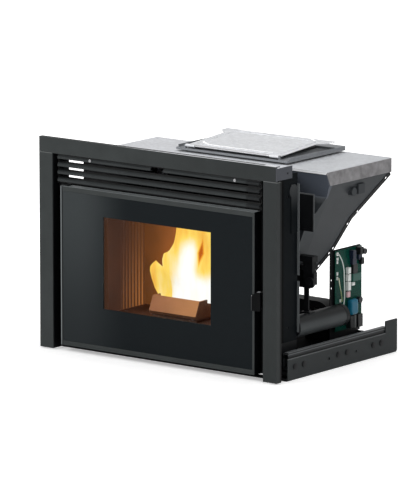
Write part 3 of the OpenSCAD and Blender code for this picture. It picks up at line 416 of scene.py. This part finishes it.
def cover_sheet(name):
    """The hopper cover: zinc, with a painted highlight on its front rim and a faint painted glow
    along its front, and an apron below its edge, stained in mottled patches and darker as painted
    shade.
    """
    paint = zinc_sheet(name, (0.62, 0.635, 0.66))
    # The apron: stained in mottled patches and darker as painted shade.
    apron = 1 - paint.height.step(0.5288, 0.5298)
    stain_and_shade = paint.ramp(paint.noise(45, 4), (0.3, (0.15, 0.145, 0.15)),
                       (0.7, (0.29, 0.285, 0.292)))
    # A painted highlight on the front rim.
    rim = 1 - paint.behind(0.2385, 0.239)
    # A faint painted glow along the front of the top.
    lit_front_strip = (1 - paint.behind(0.257, 0.2585)) * (1 - paint.side.step(0.24, 0.245))
    paint.glow(paint.mix(lit_front_strip * (1 - apron), BLACK, (0.1, 0.102, 0.107)))
    coat = paint.mix(apron, paint.zinc, stain_and_shade)
    return paint.set(Base_Color=paint.mix(rim, coat, (0.85, 0.86, 0.88)),
                     Metallic=0.55 - 0.4 * apron).material


def casing_sheet(name):
    """The casing's zinc-coated walls, near black with painted shade on the inside and at the right
    wall's front.
    """
    paint = zinc_sheet(name, BRIGHT_ZINC)
    right_wall = paint.side.step(0.2605, 0.261)
    inside = paint.side.step(-0.3195, -0.319) * (1 - right_wall)
    inside = inside * (1 - paint.behind(0.4085, 0.409))
    # Painted shade: near black on the inner faces and on the right wall's front part.
    darkening = (inside + right_wall * (1 - paint.behind(0.236, 0.24))).capped()
    return paint.set(Base_Color=paint.mix(darkening, paint.zinc, (0.004, 0.004, 0.0045)),
                     Metallic=0.55 - 0.55 * darkening).material


# The lid's pressed bead, as straight runs from point to point and its width, in metres.
BEAD_RUNS = ((-0.089, 0.32, -0.049, 0.294), (-0.049, 0.294, 0.164, 0.297),
             (-0.082, 0.479, 0.151, 0.484), (0.151, 0.484, 0.182, 0.459))
BEAD_WIDE = 0.006


def lid_sheet(name):
    """The hatch lid's zinc, with the light that its pressed bead catches at front and rear."""
    paint = zinc_sheet(name, (0.77, 0.78, 0.80))
    bead = sum(paint.line(*run, BEAD_WIDE) for run in BEAD_RUNS).capped()
    paint.glow(paint.mix(bead, BLACK, (0.3, 0.3, 0.3)))
    return paint.set(Base_Color=paint.mix(bead, paint.zinc, (1.0, 1.0, 1.0))).material


def plated_steel(name):
    """Bright plated steel with fine drawing lines."""
    color, rough = (0.5, 0.5, 0.51), 0.3
    paint = Paint(name, color, rough, 1.0)
    lines = paint.noise(900, 2, paint.stretched(1, 0.05, 1))
    drawn = paint.ramp(lines, (0.3, shade(color, 0.9)), (0.7, shade(color, 1.1)))
    return paint.set(Roughness=rough - 0.06 + 0.14 * lines, Base_Color=drawn).material


def fired_iron(name, color):
    """Firebox plate: rust tones, blackened by fire towards the top."""
    paint = Paint(name, color, 0.8)
    paint.cloud = paint.noise(22, 6)
    rust = paint.ramp(paint.cloud, (0.3, shade(color, 0.6)), (0.55, color),
                      (0.8, shade(color, 1.5)))
    darkening = paint.height.step(0.25, 0.42) * 0.45
    paint.set(Base_Color=paint.mix(darkening, rust, (0.03, 0.02, 0.015)),
              Roughness=0.65 + 0.25 * paint.cloud)
    return paint.bump(paint.noise(420, 3), 0.3, 0.0006)


def lit_back(name):
    """The back lining, lit by the flame before it: brighter beside the flame and low down."""
    paint = fired_iron(name, (0.05, 0.02, 0.01))
    near = paint.side.step(-0.2, -0.06) * (1 - 0.5 * paint.height.step(0.22, 0.4))
    light = paint.ramp(near + 0.3 * paint.cloud - 0.1, (0.0, (0.08, 0.027, 0.006)),
                       (0.45, (0.2, 0.06, 0.011)), (1.0, (0.38, 0.11, 0.02)))
    return paint.glow(light).material


def lit_ribs(name):
    """The side linings: the ribs' flanks glow, most towards the rear and the foot."""
    paint = fired_iron(name, (0.035, 0.015, 0.01))
    low = 1 - paint.height.step(0.13, 0.33)
    rear = paint.behind(0.08, 0.2)
    flank = paint.node("ShaderNodeTexWave", {"bands_direction": "Y"}, Vector=paint.place,
                       Scale=23.1, out="Fac")
    share = flank.step(0.45, 0.85) * (0.12 + 0.88 * low)
    dark = paint.mix(rear, (0.035, 0.013, 0.007), (0.085, 0.03, 0.01))
    bright = paint.mix(rear, (0.12, 0.044, 0.014), (0.36, 0.13, 0.033))
    return paint.glow(paint.mix(share * paint.behind(0.084, 0.09), dark, bright)).material


def lit_pot(name):
    """The burn pot: its front glows under the flame, most at its right."""
    paint = fired_iron(name, (0.16, 0.07, 0.03))
    front = (1 - paint.behind(0.108, 0.112)) * (1 - paint.side.step(0.0782, 0.0786))
    front = front * paint.height.step(0.1302, 0.1312)
    light = paint.mix(paint.side.step(-0.08, 0.08), (0.2, 0.075, 0.03), (0.37, 0.16, 0.055))
    return paint.glow(paint.mix(front, (0.02, 0.008, 0.004), light)).material


def moulded(name, color, rough):
    """Moulded plastic or rubber with a fine grain."""
    paint = Paint(name, color, rough)
    grain = paint.noise(2200, 2)
    paint.set(Roughness=rough - 0.06 + 0.12 * grain)
    return paint.bump(grain, 0.1, 0.0002).material


def glass_rope(name):
    """Braided glass-fibre rope."""
    color = (0.05, 0.05, 0.052)
    paint = Paint(name, color, 0.85)
    braid = paint.node("ShaderNodeTexWave", {"bands_direction": "DIAGONAL"}, Vector=paint.place,
                       Scale=160.0, Distortion=1.0)
    paint.set(Base_Color=paint.ramp(braid, (0.2, shade(color, 0.6)), (0.8, shade(color, 1.6))))
    return paint.bump(braid, 0.5, 0.001).material


def solder_mask(name):
    """Green circuit board with paler tracks under the mask."""
    color = (0.001, 0.036, 0.026)
    paint = Paint(name, color, 0.3, Specular_IOR_Level=0.12)
    cells = paint.node("ShaderNodeTexVoronoi", {"feature": "DISTANCE_TO_EDGE"},
                       Vector=paint.place, Scale=110.0)
    tracks = 1 - cells.step(0.03, 0.05)
    paint.set(Base_Color=paint.mix(tracks * 0.6, color, (0.004, 0.1, 0.065)),
              Roughness=0.28 + 0.1 * tracks)
    return paint.bump(tracks, 0.2, 0.0003).material


def wire_cover(name):
    """White insulation on the long wire and pale green on the earth wire beside it."""
    paint = Paint(name, (0.7, 0.7, 0.66), 0.45)
    earth_wire = 1 - paint.side.step(0.3163, 0.3166)
    earth_wire = earth_wire * paint.height.between(0.1475, 0.2145, 0.002)
    green = paint.mix(paint.height.step(0.185, 0.2), (0.28, 0.38, 0.16), (0.66, 0.68, 0.52))
    return paint.set(Base_Color=paint.mix(earth_wire, (0.60, 0.66, 0.63), green)).material


def door_print(name):
    """The black print behind the door glass, with a painted reflection making it paler towards the
    hinge side and the top.
    """
    paint = Paint(name, (0.012, 0.014, 0.016), 0.5, Specular_IOR_Level=0.06)
    # A painted reflection: paler towards the hinge side and the top.
    pale = ((1 - paint.side.step(-0.27, -0.09))
            * (0.38 + 0.62 * paint.height.step(0.05, 0.42)))
    paint.set(Base_Color=paint.mix(pale, (0.0085, 0.0112, 0.0130), (0.044, 0.050, 0.052)))
    return paint.bump(paint.noise(6, 2), 0.02, 0.002).material


def clear_pane(name):
    """The window's glass, faintly smoked in patches."""
    paint = Paint(name, (0.02, 0.02, 0.02), 0.05, Alpha=0.12)
    smoke = paint.noise(7, 4)
    return paint.set(Alpha=0.02 + 0.06 * smoke.step(0.45, 0.75)).material


def fire(name, left, right):
    """Burning gas: near white at its heart, yellow round it, orange at its rim and clefts.

    left and right are the two soft sides of its heart.
    """
    paint = Paint(name, BLACK, 1.0, Specular_IOR_Level=0.0, Emission_Strength=1.08)
    side, height = paint.side, paint.height
    leaning = side - 0.316 * (height - 0.168)
    heart = leaning.step(*left) * (1 - side.step(*right) * height.step(0.2, 0.25))
    heart = heart * (1 - height.step(0.29, 0.352))
    cleft_x, cleft_z = 0.058, 0.292
    cleft = (abs(side - cleft_x - 0.14 * (height - cleft_z)) * 80
             + abs(height - (cleft_z + 0.002)) * 24)
    streak = paint.noise(30, 4, paint.stretched(1, 1, 0.25))
    heat = 0.46 + 0.56 * heart + 0.6 * (streak - 0.5) - 0.5 * (1 - cleft.step(0.2, 1.2))
    light = paint.ramp(heat, (0.0, (0.50, 0.11, 0.01)), (0.25, (0.88, 0.36, 0.035)),
                       (0.5, (1.0, 0.70, 0.13)), (0.85, (1.0, 0.96, 0.82)),
                       (1.0, (1.0, 1.0, 0.97)))
    return paint.set(Emission_Color=light).material


dark_coat = powder_coat("black_coat", (0.005, 0.0055, 0.0065), 0.5).material
rust_iron = fired_iron("fired_iron", (0.11, 0.045, 0.022)).material
back_glow = lit_back("lit_back")

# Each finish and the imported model's nodes that wear it. The others are in the dark coat.
FINISHES = (
    (trim_coat("anthracite_coat"),
     ("surround_header", "surround_left", "surround_right", "ash_drawer")),
    (louvre_coat("grille_coat"), ("grille",)),
    (door_coat("door_coat"), ("door_frame",)),
    (latch_coat("latch_coat"), ("latch_lever",)),
    (plate_coat("plate_coat"), ("front_plate",)),
    (tray_coat("tray_coat"), ("base_tray", "base_side_left", "base_side_right")),
    (slide_coat("slide_coat"), ("slide_outer", "slide_middle", "slide_inner")),
    # The chassis floor: near black as painted shade, for the shade inside the base.
    (powder_coat("chassis_shade_coat", (0.003, 0.0035, 0.004), 0.7, 0.01).material, ("chassis_floor",)),
    (panel_coat("panel_black"), ("side_panel_left", "side_panel_right")),
    (hopper_coat("hopper_coat"), ("hopper_bracket", "hopper_shell")),
    (box_coat("box_coat"), ("service_box_cover",)),
    (pipe_coat("pipe_coat"), ("air_intake_pipe",)),
    (zinc_sheet("galvanised_sheet", BRIGHT_ZINC).material, ("casing_top",)),
    (casing_sheet("casing_sheet"), ("casing_walls",)),
    (cover_sheet("hopper_cover_sheet"), ("hopper_cover",)),
    # The hatch frame's zinc is a darker copy, as painted shade under the lid.
    (zinc_sheet("hatch_frame_shaded_zinc", (0.25, 0.26, 0.275)).material, ("hatch_frame",)),
    (lid_sheet("lid_sheet"), ("hatch_lid",)),
    (plated_steel("plated_steel"),
     ("grille_screws", "lid_hinge_pin", "hopper_grid", "auger_screw", "room_fan_rotor",
      "flue_fan_rotor", "flue_outlet")),
    (rust_iron, ("hearth_plate", "baffle_plate")),
    (lit_ribs("lit_ribs"), ("rib_lining_left", "rib_lining_right")),
    (back_glow, ("back_lining",)),
    (lit_pot("lit_pot"), ("burn_pot",)),
    (glass_rope("glass_rope"), ("door_gasket",)),
    (moulded("bolt_black", (0.003, 0.003, 0.004), 0.6), ("slide_bolts",)),
    (moulded("soft_rubber", (0.012, 0.012, 0.013), 0.7), ("rear_buffers", "lid_seal")),
    (moulded("white_ceramic", (0.6, 0.58, 0.52), 0.4), ("igniter", "board_components")),
    (moulded("cast_grey", (0.06, 0.062, 0.066), 0.45), ("gearbox",)),
    (solder_mask("solder_mask"), ("circuit_board",)),
    (wire_cover("wire_insulation"), ("board_wires",)),
)
worn_by = {name: finish for finish, names in FINISHES for name in names}
for name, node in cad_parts.items():
    node.data.materials.clear()
    node.data.materials.append(worn_by.get(name, dark_coat))


def put_in_scene(name, mesh, finish):
    """Turns a finished bmesh into an object at the origin."""
    data = bpy.data.meshes.new(name)
    mesh.to_mesh(data)
    mesh.free()
    data.materials.append(finish)
    made = bpy.data.objects.new(name, data)
    bpy.context.scene.collection.objects.link(made)
    return made


def piece(name, mesh, finish, body, slot, *stands_for):
    """Turns a finished bmesh into a piece that rides on a body."""
    made = put_in_scene(name, mesh, finish)
    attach(made, body)
    if stands_for:
        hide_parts(*stands_for)
    return made


def slab(mesh, low, high, rounding=0.0):
    """A box between two points in millimetres, with its edges rounded by so much."""
    low, high = Vector(low), Vector(high)
    made = bmesh.ops.create_cube(mesh, size=1.0)["verts"]
    bmesh.ops.scale(mesh, vec=(high - low) / 1000, verts=made)
    bmesh.ops.translate(mesh, vec=at(*((high + low) / 2)), verts=made)
    if rounding:
        corners = set(made)
        edges = [edge for edge in mesh.edges if edge.verts[0] in corners]
        bmesh.ops.bevel(mesh, geom=edges, offset=rounding / 1000, segments=2, affect="EDGES",
                        profile=0.5, material=-1)


# The door's window and its printed glass, in millimetres: width, height and middle height.
WINDOW_WIDE, WINDOW_HIGH, WINDOW_Z = 363, 250, 257
GLASS_WIDE, GLASS_HIGH, GLASS_Z = 639.2, 408.2, 234.5
GLASS_FACE, GLASS_THICK = 0.6, 4
# The frame behind the glass. Its four bars are given by left and right, foot and top.
FRAME_FRONT, FRAME_BACK, FRAME_ROUNDING = 5.5, 9, 0.6
FRAME_IN, FRAME_OUT = 187.5, 199
FRAME_STILES = ((-FRAME_OUT, -FRAME_IN, 114, 400), (FRAME_IN, FRAME_OUT, 114, 400))
FRAME_RAILS = ((-FRAME_IN, FRAME_IN, 114, 126), (-FRAME_IN, FRAME_IN, 388, 400))


def window_ring(mesh, wide, high, rise):
    """Cuts a window into a flat face and removes its middle."""
    right, up = Vector((1, 0, 0)), Vector((0, 1, 0))
    for spot, normal in ((-wide / 2, right), (wide / 2, right),
                         (rise - high / 2, up), (rise + high / 2, up)):
        bmesh.ops.bisect_plane(mesh, geom=mesh.verts[:] + mesh.edges[:] + mesh.faces[:],
                               plane_co=normal * spot / 1000, plane_no=normal)
    middle = Vector((0, rise / 1000, 0))
    inside = []
    for face in mesh.faces:
        off = face.calc_center_median() - middle
        if abs(off.x) < wide / 2000 and abs(off.y) < high / 2000:
            inside.append(face)
    bmesh.ops.delete(mesh, geom=inside, context="FACES")


def door_glass():
    """The glass in three pieces: the clear pane, the print round it and the frame behind it."""
    pane = bmesh.new()
    slab(pane, (-WINDOW_WIDE / 2, GLASS_FACE, WINDOW_Z - WINDOW_HIGH / 2),
         (WINDOW_WIDE / 2, GLASS_FACE + GLASS_THICK, WINDOW_Z + WINDOW_HIGH / 2))
    piece("door_pane", pane, clear_pane("clear_pane"), "door", "glass", "door_glass")

    face = bmesh.new()
    bmesh.ops.create_grid(face, x_segments=1, y_segments=1, size=0.5)
    bmesh.ops.scale(face, vec=(GLASS_WIDE / 1000, GLASS_HIGH / 1000, 1), verts=face.verts)
    window_ring(face, WINDOW_WIDE, WINDOW_HIGH, WINDOW_Z - GLASS_Z)
    bmesh.ops.rotate(face, cent=(0, 0, 0), matrix=Matrix.Rotation(math.radians(90), 3, "X"),
                     verts=face.verts)
    bmesh.ops.translate(face, vec=at(0, GLASS_FACE, GLASS_Z), verts=face.verts)
    made = piece("door_print", face, door_print("door_print"), "door", "glass", "door_glass")
    made.modifiers.new("sheet", "SOLIDIFY").thickness = GLASS_THICK / 1000

    border = bmesh.new()
    for x0, x1, z0, z1 in FRAME_STILES + FRAME_RAILS:
        slab(border, (x0, FRAME_FRONT, z0), (x1, FRAME_BACK, z1), FRAME_ROUNDING)
    piece("glass_frame", border, rust_iron, "door", "steel", "door_glass")


# The lower front corner of the board's face, and the parts on it by colour. Each part is given
# by its depth and height on the board, its width, its height and how far it stands out.
BOARD = Vector((304, 388, 67))
BOARD_PARTS = {
    "navy_relay": ((0.008, 0.012, 0.03), (
        (63, 191, 14, 23, 14), (66, 174, 19, 16.5, 10), (97, 183, 16, 15, 8))),
    "black_case": ((0.006, 0.007, 0.008), (
        (92, 199, 15, 20, 17), (105, 170, 12, 18, 12), (71.5, 148.5, 20, 26, 8),
        (49, 3, 14, 34, 16), (86, 0.5, 22, 35, 14))),
    "grey_case": ((0.05, 0.055, 0.055), (
        (70, 1, 10, 36, 13),)),
    "sage_case": ((0.02, 0.09, 0.07), (
        (75, 126.5, 38, 20.5, 5),)),
    "white_plug": ((0.72, 0.74, 0.72), (
        (46.5, 152.5, 12.5, 16.5, 10), (46.5, 132, 12.5, 18.5, 10), (46.5, 106, 12.5, 24, 10),
        (73, 115.5, 12, 8.5, 4), (3, 207, 7.5, 9, 4), (4, 194, 5.5, 8, 4),
        (4, 185.5, 4.5, 7, 4), (4, 153.5, 4.5, 9, 4), (4, 141, 4.5, 9, 4),
        (20, 52, 7, 8, 4), (18, 78, 7, 8, 3))),
    "pink_plug": ((0.62, 0.4, 0.42), (
        (48.5, 87, 13, 15.5, 6),)),
    "blue_coil": ((0.003, 0.12, 0.2), (
        (52, 38, 32, 42.5, 18),)),
}
# The two cans: depth and height of their middles on the board, radius and how far they stand out.
CANS = ((112, 206, 8, 19), (101, 73.5, 8.5, 12))


def board_parts():
    """The board's relays, plugs and coils, one piece for each colour, and its two cans."""
    for name, (color, boxes) in BOARD_PARTS.items():
        mesh = bmesh.new()
        for y, z, wide, high, out in boxes:
            low = BOARD + Vector((0, y, z))
            rounding = 6 if name == "blue_coil" else min(1.2, out * 0.12)
            slab(mesh, low, low + Vector((out, wide, high)), rounding)
        piece(name, mesh, moulded(name, color, 0.35), "insert", "parts_mixed",
              "board_components")
    cans = bmesh.new()
    lying = Matrix.Rotation(math.radians(90), 3, "Y")
    for y, z, radius, out in CANS:
        made = bmesh.ops.create_cone(cans, cap_ends=True, segments=32, radius1=radius / 1000,
                                     radius2=radius / 1000, depth=out / 1000)["verts"]
        bmesh.ops.rotate(cans, verts=made, matrix=lying)
        bmesh.ops.translate(cans, verts=made, vec=at(*(BOARD + Vector((out / 2, y, z)))))
    sleeve = moulded("capacitor_sleeve", (0.008, 0.008, 0.012), 0.3)
    piece("capacitors", cans, sleeve, "insert", "parts_mixed", "board_components")


# The flame's two tongues: their left and right edges from foot to tip, as (height, x) points.
MAIN_LEFT = ((161, -50), (200, -62), (240, -72), (262, -74), (281, -69), (285, -54),
             (308, -39), (331, -33), (345, -30), (354, -28), (370, -22), (402, 6))
MAIN_RIGHT = ((161, 106), (200, 110), (250, 112), (300, 112), (330, 106), (354, 96),
              (380, 70), (402, 14))
SIDE_LEFT = ((163, -84), (182, -99), (206, -108), (228, -112), (240, -110), (247, -104),
             (253, -97), (258, -91))
SIDE_RIGHT = ((163, -40), (182, -40), (206, -42), (228, -48), (240, -60), (247, -74),
              (253, -84), (258, -89))
TONGUE_THICK = 6
# How far the tongues sway to front and rear, and how fast along their height.
SWAY, SWAY_PITCH = 3, 23


def spread(edge, height):
    """Where an edge lies at a height, straight between its points."""
    for (z0, low), (z1, high) in zip(edge, edge[1:]):
        if height <= z1:
            return low + (high - low) * max(0.0, height - z0) / (z1 - z0)
    return edge[-1][1]


def tongue(name, finish, left, right, y):
    """One flame tongue: a closed, lens-shaped body between two edges, swaying a little."""
    mesh = bmesh.new()
    bmesh.ops.create_cone(mesh, cap_ends=True, segments=24, radius1=1, radius2=1, depth=1)
    upright = [e for e in mesh.edges if abs(e.verts[0].co.z - e.verts[1].co.z) > 0.5]
    bmesh.ops.subdivide_edges(mesh, edges=upright, cuts=46, use_grid_fill=True)
    foot, tip = left[0][0], left[-1][0]
    for vert in mesh.verts:
        z = foot + (tip - foot) * (vert.co.z + 0.5)
        x0, x1 = spread(left, z), spread(right, z)
        half = (x1 - x0) / 2
        thick = min(TONGUE_THICK, half * 0.6)
        sway = SWAY * math.sin(z / SWAY_PITCH)
        vert.co = at(x0 + half + vert.co.x * half, y + sway + vert.co.y * thick, z)
    bmesh.ops.recalc_face_normals(mesh, faces=mesh.faces)
    for face in mesh.faces:
        face.smooth = True
    piece(name, mesh, finish, "insert", "ceramic")


def add_fire():
    """The flame over the burn pot, and the lower tongue to its left."""
    tongue("flame_main", fire("flame_heart", (-0.078, -0.012), (0.025, 0.055)),
           MAIN_LEFT, MAIN_RIGHT, 122)
    tongue("flame_side", fire("flame_edge", (-0.13, 0.3), (0.03, 0.05)),
           SIDE_LEFT, SIDE_RIGHT, 116)


# Small plates that have no node: finish, body, slot, then boxes as low corner, high corner
# and rounding, in millimetres.
PLATES = {
    # Before the flue port in the back lining.
    "port_screen": (back_glow, "insert", "iron", (((-186, 191, 116), (-124, 193, 172), 0.5),)),
    # The upper lug of the board's bracket.
    "bracket_lug": (dark_coat, "insert", "black", (((295, 374, 269), (297, 391.5, 288), 0.3),)),
    # The low sill at the base's right front corner.
    "base_sill": (dark_coat, "base", "black", (((330, 49, 0), (396.5, 53.5, 7), 0.3),
                                               ((330, 53.8, 0), (393.3, 94.7, 2.5), 0.0))),
    # The strip under the door and its upturned right end.
    "bottom_strip": (dark_coat, "insert", "black", (((-327, 5, 11), (354, 34, 12.5), 0.0),
                                                    ((346, 12, 12.5), (354, 34, 22), 0.0))),
    # What the feed motor is bolted to.
    "motor_plate": (dark_coat, "insert", "black", (((262, 234, 214), (316, 236, 262), 0.3),)),
}


def add_plates():
    """The small plates of the table above."""
    for name, (finish, body, slot, boxes) in PLATES.items():
        mesh = bmesh.new()
        for low, high, rounding in boxes:
            slab(mesh, low, high, rounding)
        piece(name, mesh, finish, body, slot)


# The lamps: name, place in millimetres, width in metres and watts.
LAMPS = (("key", (-1500, -2600, 2300), 1.6, 46), ("fill", (2600, -1200, 1500), 1.6, 22),
         ("top", (200, 700, 2800), 1.8, 30))
FLOOR_RADIUS, FLOOR_DROP = 14, 0.0005


def add_world():
    """A white world: full strength to the camera and through glass, half on the object."""
    world = bpy.data.worlds.new("studio")
    bpy.context.scene.world = world
    world.use_nodes = True
    tree = world.node_tree
    back = tree.nodes["Background"]
    back.inputs["Color"].default_value = (1, 1, 1, 1)
    path = tree.nodes.new("ShaderNodeLightPath")
    seen = tree.nodes.new("ShaderNodeMath")
    seen.operation = "MAXIMUM"
    tree.links.new(path.outputs["Is Camera Ray"], seen.inputs[0])
    tree.links.new(path.outputs["Is Transmission Ray"], seen.inputs[1])
    level = tree.nodes.new("ShaderNodeMapRange")
    tree.links.new(seen.outputs[0], level.inputs["Value"])
    level.inputs["To Min"].default_value = 0.5
    level.inputs["To Max"].default_value = 1.0
    tree.links.new(level.outputs[0], back.inputs["Strength"])


def add_lamps():
    """Three soft lamps that face the object."""
    for name, spot, wide, watts in LAMPS:
        data = bpy.data.lights.new(name, "AREA")
        data.size = wide
        data.energy = watts
        lamp = bpy.data.objects.new(name, data)
        bpy.context.scene.collection.objects.link(lamp)
        lamp.location = at(*spot)
        lamp.rotation_euler = (lamp.location - at(*AIM)).to_track_quat("Z", "Y").to_euler()


def floor_paper(name):
    """Pale paper, which the camera sees turn white away from the object."""
    paper = Paint(name, (0.9, 0.9, 0.9), 0.9, Specular_IOR_Level=0.0)
    away = (paper.side ** 2.0 + paper.axis("Y") ** 2.0) ** 0.5
    white = paper.mix(away.step(0.5, 1.6), (0.4, 0.4, 0.4), (1, 1, 1))
    camera_ray = paper.node("ShaderNodeLightPath", {}, out="Is Camera Ray")
    return paper.glow(paper.mix(camera_ray, BLACK, white)).material


def add_floor():
    """A round floor just under the object."""
    floor = bmesh.new()
    bmesh.ops.create_circle(floor, cap_ends=True, segments=96, radius=FLOOR_RADIUS)
    bmesh.ops.translate(floor, vec=(0, 0, -FLOOR_DROP), verts=floor.verts)
    put_in_scene("floor", floor, floor_paper("floor_paper"))


door_glass()
board_parts()
add_fire()
add_plates()

bpy.context.scene.view_settings.view_transform = "Standard"
add_world()
add_lamps()
add_floor()
